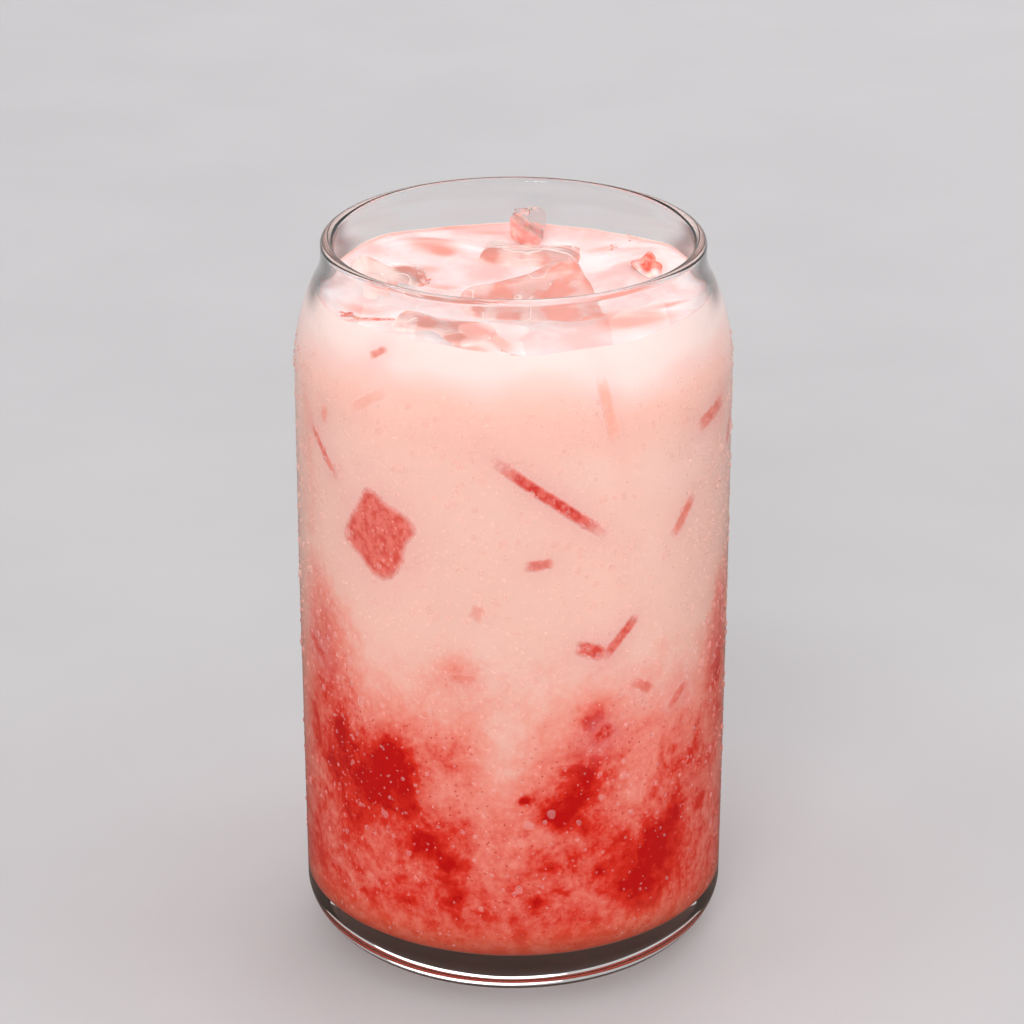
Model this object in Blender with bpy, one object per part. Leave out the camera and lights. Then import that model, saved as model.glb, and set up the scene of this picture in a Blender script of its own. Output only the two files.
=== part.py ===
"""Iced strawberry smoothie in a can-shaped drinking glass: the glass, the drink and what floats in its surface."""

import math

import bmesh
import bpy
from mathutils import Euler, Vector

MM = 0.001
GAP = 0.3 * MM  # clear space between pieces that touch

# The glass, outside: foot ring, rounded heel, nearly straight body, shoulder drawn in to a short upright lip.
HEIGHT = 134.2 * MM
BODY_RADIUS = 39.1 * MM
HEEL_RADIUS = 38.7 * MM  # the body has a slight draft towards the heel
HEEL_HEIGHT = 9.0 * MM
HEEL_ROUNDING = 1.7  # exponent of the heel's superellipse: 2 is round, 1 a straight chamfer
FOOT_OUTER = 29.5 * MM
FOOT_INNER = 27.0 * MM
PUNT_RISE = 1.6 * MM  # how far the underside is hollowed inside the foot ring
SHOULDER_START = 111.0 * MM
SHOULDER_ARC = 35.0 * MM
LIP_RADIUS = 34.15 * MM
LIP_FILLET = 9.0 * MM
RIM_ROUND = 1.1 * MM  # half the lip's thickness

# The glass, inside.
WALL = 2.15 * MM
FLOOR_EDGE = 9.0 * MM  # height of the inner floor where its corner starts
FLOOR_MIDDLE = 8.4 * MM
CORNER_TOP = 14.5 * MM
CORNER_WIDTH = 5.5 * MM

# The drink.
LEVEL = 123.9 * MM
MENISCUS = 0.9 * MM
MENISCUS_WIDTH = 1.6 * MM
DRINK_RINGS = 14

SEGMENTS = 64
ICE_GRID = 5  # squares along each side of an ice cube's face
CHIP_GRID = 4

# Mounds and hollows of the drink's top: middle, height, half-lengths, turn in degrees. Milk covers the ice below them.
MOUNDS = [
    ((-17.0, 20.0), 2.3, (13.0, 7.0), -18.0),
    ((-25.0, 3.0), 2.4, (7.0, 9.0), 10.0),
    ((23.0, 11.0), 2.3, (8.0, 13.0), -28.0),
    ((4.0, 27.0), -0.8, (12.0, 5.0), 0.0),
    ((20.0, -15.0), 0.9, (8.0, 5.0), 25.0),
    ((5.0, -28.0), -0.9, (12.0, 5.0), 5.0),
    ((-15.0, -23.0), 1.7, (10.0, 8.0), -30.0),
    ((-12.0, 5.0), -0.9, (7.0, 6.0), 0.0),
]

# Ice that stands clear of the milk: middle, edge lengths, turns about X, Y and Z in degrees, and squareness, which is
# the exponent of a superellipsoid: 2 is a ball, larger is more like a cube.
ICE = {
    "ice_middle": ((4.3, -7.6, 119.2), (22.5, 20.5, 13.0), (18.4, -8.8, 21.0), 9.0),
    "ice_back": ((3.0, 17.4, 118.4), (19.0, 14.5, 15.5), (-12.0, 3.0, -8.0), 6.0),
    "ice_left": ((-23.2, 3.6, 119.0), (14.0, 14.0, 15.0), (14.0, 20.0, 16.0), 6.0),
    "ice_front_left": ((-12.9, -22.1, 119.0), (18.0, 13.5, 14.5), (10.0, 4.0, -22.0), 6.0),
}
ICE_MELT = 0.45 * MM

# Chips of ice and fruit on the surface, given as the ice is.
CHIPS = {
    "ice_chip": ((2.8, 28.3, 126.3), (7.0, 4.0, 7.0), (-14.0, 8.0, 20.0), 3.2),
    "berry_chip": ((24.0, 6.0, 126.2), (4.6, 5.6, 3.2), (18.0, -24.0, 30.0), 3.2),
}

COLOURS = {
    "glass": ((0.93, 0.96, 0.96, 1.0), 0.02),
    "drink": ((0.93, 0.55, 0.50, 1.0), 0.35),
    "ice": ((0.96, 0.78, 0.76, 1.0), 0.05),
    "berry": ((0.78, 0.10, 0.07, 1.0), 0.30),
}


def clear_scene():
    for obj in list(bpy.data.objects):
        bpy.data.objects.remove(obj, do_unlink=True)


def material(name):
    """One Principled material for each kind of stuff."""
    made = bpy.data.materials.get(name)
    if made is None:
        made = bpy.data.materials.new(name)
        made.use_nodes = True
        colour, roughness = COLOURS[name]
        shader = made.node_tree.nodes["Principled BSDF"]
        shader.inputs["Base Color"].default_value = colour
        shader.inputs["Roughness"].default_value = roughness
        shader.inputs["Metallic"].default_value = 0.0
        made.diffuse_color = colour
    return made


def add_object(name, mesh, stuff):
    mesh.shade_smooth()
    mesh.set_sharp_from_angle(angle=math.radians(40))
    obj = bpy.data.objects.new(name, mesh)
    obj.data.materials.append(material(stuff))
    bpy.context.scene.collection.objects.link(obj)
    return obj


def outer_radius(z):
    """Outside radius of the glass from the heel's top to the lip."""
    if z <= SHOULDER_START:
        share = (z - HEEL_HEIGHT) / (SHOULDER_START - HEEL_HEIGHT)
        return HEEL_RADIUS + (BODY_RADIUS - HEEL_RADIUS) * min(1.0, 1.6 * share)
    fillet_top, fillet_bottom = lip_fillet_heights()
    if z <= fillet_bottom:
        rise = z - SHOULDER_START
        return BODY_RADIUS - SHOULDER_ARC + math.sqrt(SHOULDER_ARC**2 - rise**2)
    if z <= fillet_top:
        drop = fillet_top - z
        return LIP_RADIUS + LIP_FILLET - math.sqrt(LIP_FILLET**2 - drop**2)
    return LIP_RADIUS


def lip_fillet_heights():
    """Top and bottom of the hollow curve that joins the shoulder's arc to the upright lip, tangent to both."""
    # The two arcs touch where their centres are SHOULDER_ARC + LIP_FILLET apart.
    across = (LIP_RADIUS + LIP_FILLET) - (BODY_RADIUS - SHOULDER_ARC)
    reach = SHOULDER_ARC + LIP_FILLET
    up = math.sqrt(reach**2 - across**2)
    return SHOULDER_START + up, SHOULDER_START + up * SHOULDER_ARC / reach


def inner_radius(z):
    """Inside radius of the glass: the outside less the wall, rounded into the floor at the bottom."""
    straight = outer_radius(max(z, CORNER_TOP)) - WALL
    if z >= CORNER_TOP:
        return straight
    down = min(1.0, (CORNER_TOP - z) / (CORNER_TOP - FLOOR_EDGE))
    return straight - CORNER_WIDTH * (1.0 - math.sqrt(1.0 - down**2))


def spaced(low, high, count):
    """count values from low to high, both included."""
    return [low + (high - low) * i / (count - 1) for i in range(count)]


def outside_profile():
    """Points (radius, height) of the glass's outside, from the middle of the underside up to the rim's middle."""
    points = [(FOOT_INNER * s, PUNT_RISE * (1.0 - s**2)) for s in spaced(0.0, 1.0, 5)]
    for angle in spaced(0.0, math.pi / 2, 8):
        width = math.sin(angle) ** (2 / HEEL_ROUNDING)
        rise = 1.0 - math.cos(angle) ** (2 / HEEL_ROUNDING)
        points.append((FOOT_OUTER + (HEEL_RADIUS - FOOT_OUTER) * width, HEEL_HEIGHT * rise))
    fillet_top, fillet_bottom = lip_fillet_heights()
    heights = [45.0 * MM, 75.0 * MM, SHOULDER_START]
    heights += spaced(SHOULDER_START, fillet_bottom, 8)[1:]
    heights += spaced(fillet_bottom, fillet_top, 4)[1:]
    points += [(outer_radius(z), z) for z in heights]
    points += rim_arc(math.pi / 2, 0.0)
    return points


def rim_arc(start, end):
    """The rounded rim from its outer side, at angle 90, over the top at 0, to the inner side at -90."""
    middle = LIP_RADIUS - RIM_ROUND
    return [
        (middle + RIM_ROUND * math.sin(a), HEIGHT - RIM_ROUND + RIM_ROUND * math.cos(a))
        for a in spaced(start, end, 4)
    ]


def inside_profile():
    """Points (radius, height) of the glass's inside, from the rim down to the middle of the floor."""
    points = rim_arc(0.0, -math.pi / 2)[1:]
    fillet_top, fillet_bottom = lip_fillet_heights()
    heights = spaced(fillet_top, fillet_bottom, 4)
    heights += spaced(fillet_bottom, SHOULDER_START, 7)[1:]
    heights += [75.0 * MM, 45.0 * MM]
    points += [(inner_radius(z), z) for z in heights]
    points += corner_profile(0.0)
    points += [
        (s * floor_radius(0.0), FLOOR_MIDDLE + (FLOOR_EDGE - FLOOR_MIDDLE) * s**2)
        for s in (0.66, 0.33, 0.0)
    ]
    return points


def floor_radius(inset):
    return outer_radius(CORNER_TOP) - WALL - CORNER_WIDTH - inset


def corner_profile(inset):
    """The rounded corner between wall and floor, from the wall down, moved inwards and upwards by inset."""
    middle = outer_radius(CORNER_TOP) - WALL - CORNER_WIDTH
    points = []
    for angle in spaced(0.0, math.pi / 2, 5):
        reach = CORNER_WIDTH - inset
        fall = CORNER_TOP - FLOOR_EDGE - inset
        points.append((middle + reach * math.cos(angle), CORNER_TOP - fall * math.sin(angle)))
    return points


def turned_mesh(name, profile):
    """Closed mesh turned about Z from a profile whose two ends lie on the axis."""
    bm = bmesh.new()
    points = [bm.verts.new((r, 0.0, z)) for r, z in profile]
    edges = [bm.edges.new(pair) for pair in zip(points, points[1:])]
    bmesh.ops.spin(
        bm,
        geom=points + edges,
        cent=(0.0, 0.0, 0.0),
        axis=(0.0, 0.0, 1.0),
        angle=2 * math.pi,
        steps=SEGMENTS,
        use_merge=True,
    )
    bmesh.ops.remove_doubles(bm, verts=bm.verts, dist=0.001 * MM)
    bmesh.ops.recalc_face_normals(bm, faces=bm.faces)
    mesh = bpy.data.meshes.new(name)
    bm.to_mesh(mesh)
    bm.free()
    return mesh


def make_glass():
    return add_object("glass", turned_mesh("glass", outside_profile() + inside_profile()), "glass")


def surface_height(x, y):
    """Height of the drink's top at x, y: the level, the mounds over sunk ice, slow ripples and the meniscus."""
    height = LEVEL
    for (mid_x, mid_y), rise, (half_x, half_y), turn in MOUNDS:
        angle = math.radians(turn)
        dx = x / MM - mid_x
        dy = y / MM - mid_y
        along = (dx * math.cos(angle) + dy * math.sin(angle)) / half_x
        across = (dy * math.cos(angle) - dx * math.sin(angle)) / half_y
        height += rise * MM * math.exp(-(along**2 + across**2))
    height += 0.22 * MM * math.sin(x / (3.7 * MM) + 1.1) * math.sin(y / (4.6 * MM) - 0.4)
    to_wall = inner_radius(LEVEL) - GAP - math.hypot(x, y)
    return height + MENISCUS * math.exp(-max(0.0, to_wall) / MENISCUS_WIDTH)


def make_drink():
    """The drink: it fills the glass up to an uneven top."""
    edge = inner_radius(LEVEL) - GAP
    profile = [(0.0, FLOOR_MIDDLE + GAP)]
    floor_edge = floor_radius(0.0)
    for s in (0.33, 0.66):
        profile.append((s * floor_edge, FLOOR_MIDDLE + GAP + (FLOOR_EDGE - FLOOR_MIDDLE) * s**2))
    profile += reversed(corner_profile(GAP))
    heights = [45.0 * MM, 75.0 * MM] + spaced(SHOULDER_START, LEVEL - 2.0 * MM, 5)
    profile += [(inner_radius(z) - GAP, z) for z in heights]
    rings = [edge * (1.0 - i / DRINK_RINGS) for i in range(DRINK_RINGS + 1)]
    rings.insert(1, edge - 0.7 * MM)
    profile += [(r, LEVEL) for r in rings]
    mesh = turned_mesh("drink", profile)
    for vertex in mesh.vertices:
        if vertex.co.z < LEVEL - 0.1 * MM:
            continue
        vertex.co.z = surface_height(vertex.co.x, vertex.co.y)
        radius = math.hypot(vertex.co.x, vertex.co.y)
        if radius > edge - 0.1 * MM:
            # The glass narrows upwards, so the edge follows its wall.
            scale = (inner_radius(vertex.co.z) - GAP) / radius
            vertex.co.x *= scale
            vertex.co.y *= scale
    return add_object("drink", mesh, "drink")


def lump_mesh(name, size, grid_count, squareness, grow):
    """Rounded block: a cube's grid pulled onto a superellipsoid, with shallow melted hollows, grown outwards by grow."""
    bm = bmesh.new()
    bmesh.ops.create_cube(bm, size=2.0)
    bmesh.ops.subdivide_edges(bm, edges=bm.edges, cuts=grid_count - 1, use_grid_fill=True)
    half = Vector(size) * 0.5
    for vertex in bm.verts:
        # Tan spacing keeps the grid's squares even once they are on the rounded form.
        grid = Vector(math.tan(c * math.pi / 4) for c in vertex.co)
        power = sum(abs(c) ** squareness for c in grid) ** (1 / squareness)
        spot = grid / power
        wave = math.sin(3.1 * spot.x + 1.7) * math.sin(2.7 * spot.y - 0.6) + math.sin(
            2.3 * spot.z + 2.9 * spot.x
        )
        shrink = ICE_MELT * (0.5 + 0.5 * wave)
        vertex.co = Vector(s * (h - shrink + grow) for s, h in zip(spot, half))
    mesh = bpy.data.meshes.new(name)
    bm.to_mesh(mesh)
    bm.free()
    return mesh


def place(obj, middle, turns):
    obj.location = Vector(middle) * MM
    obj.rotation_euler = Euler([math.radians(t) for t in turns])


def make_floaters(drink):
    """The ice and the chips, each with a wider cutter that makes its pocket in the drink."""
    pieces = [(name, *spec, ICE_GRID) for name, spec in ICE.items()]
    pieces += [(name, *spec, CHIP_GRID) for name, spec in CHIPS.items()]
    for name, middle, size, turns, squareness, grid_count in pieces:
        stuff = name.split("_")[0]
        size_m = Vector(size) * MM
        obj = add_object(name, lump_mesh(name, size_m, grid_count, squareness, 0.0), stuff)
        place(obj, middle, turns)
        cutter_mesh = lump_mesh(name + "_cutter", size_m, grid_count, squareness, GAP)
        cutter = bpy.data.objects.new(name + "_cutter", cutter_mesh)
        bpy.context.scene.collection.objects.link(cutter)
        place(cutter, middle, turns)
        cutter.hide_render = True
        cutter.display_type = "WIRE"
        pocket = drink.modifiers.new(name + "_pocket", "BOOLEAN")
        pocket.operation = "DIFFERENCE"
        pocket.object = cutter


def main():
    clear_scene()
    make_glass()
    make_floaters(make_drink())


main()
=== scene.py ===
"""Looks of an iced strawberry smoothie in a can-shaped glass, in the order that it is made and poured."""

import bpy
import numpy as np
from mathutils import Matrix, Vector


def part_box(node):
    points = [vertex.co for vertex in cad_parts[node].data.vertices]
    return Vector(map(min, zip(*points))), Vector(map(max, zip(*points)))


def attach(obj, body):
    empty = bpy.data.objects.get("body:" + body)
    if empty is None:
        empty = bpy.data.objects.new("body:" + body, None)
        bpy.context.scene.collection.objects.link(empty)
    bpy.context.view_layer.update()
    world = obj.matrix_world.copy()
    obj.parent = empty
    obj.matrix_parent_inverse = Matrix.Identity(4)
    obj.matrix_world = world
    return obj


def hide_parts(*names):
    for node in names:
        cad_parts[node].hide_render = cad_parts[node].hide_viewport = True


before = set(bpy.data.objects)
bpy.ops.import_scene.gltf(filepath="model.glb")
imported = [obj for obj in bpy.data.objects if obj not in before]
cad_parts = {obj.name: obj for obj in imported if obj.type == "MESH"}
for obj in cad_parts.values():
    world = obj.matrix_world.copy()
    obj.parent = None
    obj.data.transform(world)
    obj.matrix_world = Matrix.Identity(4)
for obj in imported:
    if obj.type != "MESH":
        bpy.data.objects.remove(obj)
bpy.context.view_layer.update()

# The drinking glass, clear soda-lime blown in a mould: a thick base on a foot ring, a thin, nearly straight
# body, and a shoulder drawn in to a short upright lip whose cut edge was melted round in a flame.
MM = 0.001
glass_high = np.array(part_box("glass")[1]) / MM
GLASS_HEIGHT = glass_high[2]
BODY_RADIUS = glass_high[0]
HEEL_RADIUS = BODY_RADIUS - 0.4
HEEL_HEIGHT = 9
HEEL_ROUNDING = 1.7  # exponent of the heel's superellipse: 2 is round, 1 a straight chamfer
FOOT_OUTER = 29.5
FOOT_INNER = 27
PUNT_RISE = 1.6
SHOULDER_START = 111
DRAFT_PACE = 1.6  # the body reaches its full radius at 1 / 1.6 of its height
SHOULDER_ARC = 35
LIP_RADIUS = 34.15
LIP_FILLET = 9
RIM_ROUND = 1.1
WALL = 2.15
FLOOR_EDGE = 9
FLOOR_MIDDLE = 8.4
CORNER_TOP = 14.5
CORNER_WIDTH = 5.5
GLASS_TURNS = 256
# The shoulder's arc and the lip's hollow arc touch where their middles are both radii apart.
ARC_REACH = SHOULDER_ARC + LIP_FILLET
HOLLOW_TOP = SHOULDER_START + np.sqrt(ARC_REACH**2 - (LIP_RADIUS + ARC_REACH - BODY_RADIUS) ** 2)
HOLLOW_FOOT = SHOULDER_START + (HOLLOW_TOP - SHOULDER_START) * SHOULDER_ARC / ARC_REACH


def outer_wall(z):
    """Outside radius at height z: a slight draft, an arc for the shoulder and a hollow arc into the lip."""
    draft = np.clip(DRAFT_PACE * (z - HEEL_HEIGHT) / (SHOULDER_START - HEEL_HEIGHT), 0, 1)
    body = HEEL_RADIUS + (BODY_RADIUS - HEEL_RADIUS) * draft
    rise = np.clip(z - SHOULDER_START, 0, SHOULDER_ARC)
    shoulder = BODY_RADIUS - SHOULDER_ARC + np.sqrt(SHOULDER_ARC**2 - rise**2)
    drop = np.clip(HOLLOW_TOP - z, 0, LIP_FILLET)
    hollow = LIP_RADIUS + LIP_FILLET - np.sqrt(LIP_FILLET**2 - drop**2)
    return np.where(z <= SHOULDER_START, body, np.where(z <= HOLLOW_FOOT, shoulder, hollow))


def inner_wall(z):
    """Inside radius at height z: the outside less the wall, down to where the floor's corner starts."""
    return outer_wall(np.maximum(z, CORNER_TOP)) - WALL


def glass_profile():
    """Radius and height from the middle of the underside, out, up, over the rim and down to the floor.

    Each run below ends with the number of points that it takes.
    """
    punt = np.linspace(0, 1, 14)[1:]
    heel = np.linspace(0, np.pi / 2, 28)
    straight = np.linspace(HEEL_HEIGHT, SHOULDER_START, 34)[1:]
    shoulder = np.linspace(SHOULDER_START, GLASS_HEIGHT - RIM_ROUND, 44)[1:]
    rim = np.linspace(np.pi / 2, -np.pi / 2, 20)[1:-1]
    down = np.linspace(GLASS_HEIGHT - RIM_ROUND, CORNER_TOP, 80)
    corner = np.linspace(0, np.pi / 2, 16)[1:]
    floor = np.linspace(1, 0, 12)[1:-1]
    floor_radius = inner_wall(CORNER_TOP) - CORNER_WIDTH
    radius = np.concatenate([
        FOOT_INNER * punt,
        FOOT_OUTER + (HEEL_RADIUS - FOOT_OUTER) * np.sin(heel) ** (2 / HEEL_ROUNDING),
        outer_wall(straight),
        outer_wall(shoulder),
        LIP_RADIUS - RIM_ROUND + RIM_ROUND * np.sin(rim),
        inner_wall(down),
        floor_radius + CORNER_WIDTH * np.cos(corner),
        floor_radius * floor,
    ])
    height = np.concatenate([
        PUNT_RISE * (1 - punt**2),
        HEEL_HEIGHT * (1 - np.cos(heel) ** (2 / HEEL_ROUNDING)),
        straight,
        shoulder,
        GLASS_HEIGHT - RIM_ROUND + RIM_ROUND * np.cos(rim),
        down,
        CORNER_TOP - (CORNER_TOP - FLOOR_EDGE) * np.sin(corner),
        FLOOR_MIDDLE + (FLOOR_EDGE - FLOOR_MIDDLE) * floor**2,
    ])
    return radius, height


def once_round(count):
    """Even angles once round from 0."""
    return np.linspace(0, 2 * np.pi, count, endpoint=False)


def turned(radius, height, turns):
    """Rings of points round Z, one ring for each radius and height of a profile."""
    angle = once_round(turns)
    ring = np.stack([np.cos(angle), np.sin(angle), np.zeros(turns)], axis=-1)
    upright = np.array([0, 0, 1])
    return radius[:, None, None] * ring + height[:, None, None] * upright


def new_piece(name, rings, start, end):
    """Closed skin in millimetres: squares between rings of points, and a fan to a point at each end."""
    count, turns = rings.shape[:2]
    points = np.concatenate([rings.reshape(-1, 3), [start, end]])
    here = np.arange(count * turns).reshape(count, turns)
    beside = np.roll(here, -1, axis=1)
    squares = np.stack([here[:-1], beside[:-1], beside[1:], here[1:]], axis=-1).reshape(-1, 4)
    first_fan = np.stack([beside[0], here[0], np.full(turns, count * turns)], axis=-1)
    last_fan = np.stack([here[-1], beside[-1], np.full(turns, count * turns + 1)], axis=-1)
    return mesh_piece(name, points, squares, np.concatenate([first_fan, last_fan]))


def put_in_scene(name, data):
    """New object with this data, in the scene."""
    thing = bpy.data.objects.new(name, data)
    bpy.context.scene.collection.objects.link(thing)
    return thing


def mesh_piece(name, points, squares, triangles):
    """Smooth mesh object in millimetres; the sign of the volume inside tells which way its faces point."""
    thirds = np.concatenate([squares[:, [0, 1, 2]], squares[:, [0, 2, 3]], triangles])
    a, b, c = points[thirds].transpose(1, 0, 2)
    if np.einsum("ij,ij->", a, np.cross(b, c)) < 0:
        squares, triangles = squares[:, ::-1], triangles[:, ::-1]
    corners = np.concatenate([squares.ravel(), triangles.ravel()])
    first_triangle = squares.size + 3 * np.arange(len(triangles))
    mesh = bpy.data.meshes.new(name)
    mesh.vertices.add(len(points))
    mesh.vertices.foreach_set("co", (points * MM).ravel())
    mesh.loops.add(len(corners))
    mesh.loops.foreach_set("vertex_index", corners)
    mesh.polygons.add(len(squares) + len(triangles))
    starts = np.concatenate([4 * np.arange(len(squares)), first_triangle])
    mesh.polygons.foreach_set("loop_start", starts)
    mesh.update(calc_edges=True)
    mesh.shade_smooth()
    return put_in_scene(name, mesh)


def node(material, kind, inputs=(), **settings):
    """Adds a shader node, sets its options, and sets or links its inputs; gives its outputs."""
    made = material.node_tree.nodes.new("ShaderNode" + kind)
    for option, value in settings.items():
        setattr(made, option, value)
    for socket, value in dict(inputs).items():
        if isinstance(value, bpy.types.NodeSocket):
            material.node_tree.links.new(value, made.inputs[socket])
        else:
            made.inputs[socket].default_value = value
    return made.outputs


def new_material(name):
    """Empty node material, and the point in millimetres that it reads."""
    material = bpy.data.materials.new(name)
    material.use_nodes = True
    material.node_tree.nodes.clear()
    place = node(material, "TexCoord")["Object"]
    in_mm = node(material, "VectorMath", {0: place, "Scale": 1 / MM}, operation="SCALE")["Vector"]
    return material, in_mm


def finish_material(material, inputs, lets_light_through=False):
    """Ends a material with one shader; clear stuff lets lamps shine through onto what is inside."""
    shader = node(material, "BsdfPrincipled", inputs)[0]
    if lets_light_through:
        lamp_ray = node(material, "LightPath")["Is Shadow Ray"]
        gap = node(material, "BsdfTransparent", {"Color": (0.97, 0.97, 0.97, 1)})[0]
        shader = node(material, "MixShader", {0: lamp_ray, 1: shader, 2: gap})[0]
    node(material, "OutputMaterial", {"Surface": shader})
    return material


def noise(material, place, size, detail=2, roughness=0.5):
    """Cloudy value about 0.5, whose clouds are size millimetres across."""
    settings = {"Vector": place, "Scale": 1 / size, "Detail": detail, "Roughness": roughness}
    return node(material, "TexNoise", settings)["Fac"]


def step(material, value, low, high):
    """Value that rises smoothly from 0 at low to 1 at high."""
    inputs = {"Value": value, "From Min": low, "From Max": high}
    return node(material, "MapRange", inputs, interpolation_type="SMOOTHSTEP")["Result"]


def scaled(material, value, factor, added=0):
    """Value times factor, plus what is added; each is a number or a socket."""
    inputs = {0: value, 1: factor, 2: added}
    return node(material, "Math", inputs, operation="MULTIPLY_ADD")[0]


def blend_colours(material, share, under, over):
    """Two colours mixed by a share from 0 to 1."""
    inputs = {"Factor": share, 6: under, 7: over}
    return node(material, "Mix", inputs, data_type="RGBA")[2]


def clear_glass():
    """Clear glass, faintly wavy from its mould.

    The lip, with no milk behind it, is painted dark grey where it is seen edge on: a painted reflection of
    the dark surroundings.
    """
    material, place = new_material("clear_glass")
    edge_on = step(material, node(material, "LayerWeight", {"Blend": 0.5})["Facing"], 0.58, 0.76)
    lip = step(material, node(material, "SeparateXYZ", {0: place})["Z"], 122, 126)
    grey = scaled(material, edge_on, lip)
    waves = noise(material, place, 14, detail=1)
    bump = node(material, "Bump", {"Height": waves, "Distance": 0.12 * MM, "Strength": 0.5})[0]
    # Painted reflection: the clear colour turns dark grey where the lip is seen edge on.
    colour = blend_colours(material, grey, (0.985, 0.99, 0.99, 1), (0.09, 0.08, 0.075, 1))
    inputs = {"Base Color": colour, "Roughness": 0, "IOR": 1.5, "Transmission Weight": 1, "Normal": bump}
    return finish_material(material, inputs, lets_light_through=True)


glass_rings = turned(*glass_profile(), GLASS_TURNS)
glass = new_piece("drinking_glass", glass_rings, (0, 0, PUNT_RISE), (0, 0, FLOOR_MIDDLE))
glass.data.materials.append(clear_glass())
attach(glass, "root")
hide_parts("glass")


# The drink's level, which the ice needs too: the milk stands a little higher over each block that floats
# in it, ripples slightly between them, and climbs the wall in a thin edge.
LEVEL = 123.9
MENISCUS = 1.1
MENISCUS_WIDTH = 1.3
# Mounds and hollows of the top: middle, height, half lengths, turn in degrees.
MOUNDS = [
    (-17, 20, 2.3, 13, 7, -18),
    (-25, 3, 2.4, 7, 9, 10),
    (23, 11, 2.3, 8, 13, -28),
    (4, 27, -0.8, 12, 5, 0),
    (20, -15, 0.9, 8, 5, 25),
    (5, -28, -0.9, 12, 5, 5),
    (-15, -23, 1.7, 10, 8, -30),
    (-12, 5, -0.9, 7, 6, 0),
]


def waves(points, length, seed, count=14):
    """Gentle random field of about unit size: the mean of sine waves that run in seeded directions."""
    draw = np.random.default_rng(seed)
    ways = draw.normal(size=(count, points.shape[-1]))
    ways /= np.linalg.norm(ways, axis=1, keepdims=True)
    pace = 2 * np.pi / length * draw.uniform(0.7, 1.4, count)
    start = draw.uniform(0, 2 * np.pi, count)
    return np.sin(points @ (ways * pace[:, None]).T + start).mean(axis=-1) * np.sqrt(2 * count)


def cos_sin(degrees):
    """Cosine and sine of angles in degrees."""
    return np.cos(np.radians(degrees)), np.sin(np.radians(degrees))


def hills(x, y, spots):
    """Sum of smooth hills, each its strength times e to the minus squared distance in its half lengths."""
    total = np.zeros_like(x)
    for middle_x, middle_y, strength, half_x, half_y, turn in spots:
        cos, sin = cos_sin(turn)
        along = ((x - middle_x) * cos + (y - middle_y) * sin) / half_x
        across = ((y - middle_y) * cos - (x - middle_x) * sin) / half_y
        total += strength * np.exp(-(along**2) - across**2)
    return total


def milk_top(x, y):
    """Height of the drink's top: the level, mounds over sunk ice, slow ripples, and a lip up the wall."""
    ripple = 0.22 * np.sin(x / 3.7 + 1.1) * np.sin(y / 4.6 - 0.4)
    fine = 0.04 * waves(np.stack([x, y], axis=-1), 9, 3)
    to_wall = np.maximum(inner_wall(np.array(LEVEL)) - np.hypot(x, y), 0)
    lip = MENISCUS * np.exp(-to_wall / MENISCUS_WIDTH)
    return LEVEL + hills(x, y, MOUNDS) + ripple + fine + lip


def above_milk(points):
    """How far points stand above the milk's top, less than nothing below it."""
    return points[:, 2] - milk_top(points[:, 0], points[:, 1])


# The ice, blocks from a tray that have started to melt: edges rounded, faces dished and wet, clear with a
# pink cast from the milk round them. Their tops stand out of the drink, with a film of milk here and there.
ICE = {
    "ice_middle": ((4.3, -7.6, 119.2), (22.5, 20.5, 13), (18.4, -8.8, 21), 9),
    "ice_back": ((3, 17.4, 118.4), (19, 14.5, 15.5), (-12, 3, -8), 6),
    "ice_left": ((-23.2, 3.6, 119), (14, 14, 15), (14, 20, 16), 6),
    "ice_front_left": ((-12.9, -22.1, 119), (18, 13.5, 14.5), (10, 4, -22), 6),
}
ICE_MELT = 0.45
ICE_ROWS = 80
ICE_TURNS = 120
POCKET_SHARE = 0.3  # the milk reaches this far into the ice, so that no air shows between them


def turn_matrix(degrees):
    """Turns about X, then Y, then Z."""
    (cx, cy, cz), (sx, sy, sz) = cos_sin(degrees)
    about_x = np.array([[1, 0, 0], [0, cx, -sx], [0, sx, cx]])
    about_y = np.array([[cy, 0, sy], [0, 1, 0], [-sy, 0, cy]])
    about_z = np.array([[cz, -sz, 0], [sz, cz, 0], [0, 0, 1]])
    return about_z @ about_y @ about_x


def ball_directions(rows, turns):
    """Unit directions in rings from below the upper pole to above the lower one."""
    tilt = np.linspace(0, np.pi, rows + 2)[1:-1, None]
    angle = once_round(turns)[None, :]
    flat = np.sin(tilt)
    return np.stack([flat * np.cos(angle), flat * np.sin(angle), np.cos(tilt) + 0 * angle], axis=-1)


def on_block(directions, squareness):
    """Directions pushed out onto a superellipsoid, where the powers of the coordinates add to one."""
    power = (np.abs(directions) ** squareness).sum(axis=-1, keepdims=True)
    return directions / power ** (1 / squareness)


def block(directions, middle, size, turns, squareness, melt, shrink=0):
    """Melting block: a superellipsoid let in by slow waves, then turned and moved to its middle."""
    spot = on_block(directions, squareness)
    x, y, z = np.moveaxis(spot, -1, 0)
    wave = np.sin(3.1 * x + 1.7) * np.sin(2.7 * y - 0.6) + np.sin(2.3 * z + 2.9 * x)
    let_in = melt * (0.5 + 0.5 * wave) + shrink
    local = spot * (np.array(size) / 2 - let_in[..., None])
    return local @ turn_matrix(turns).T + np.array(middle)


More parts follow.
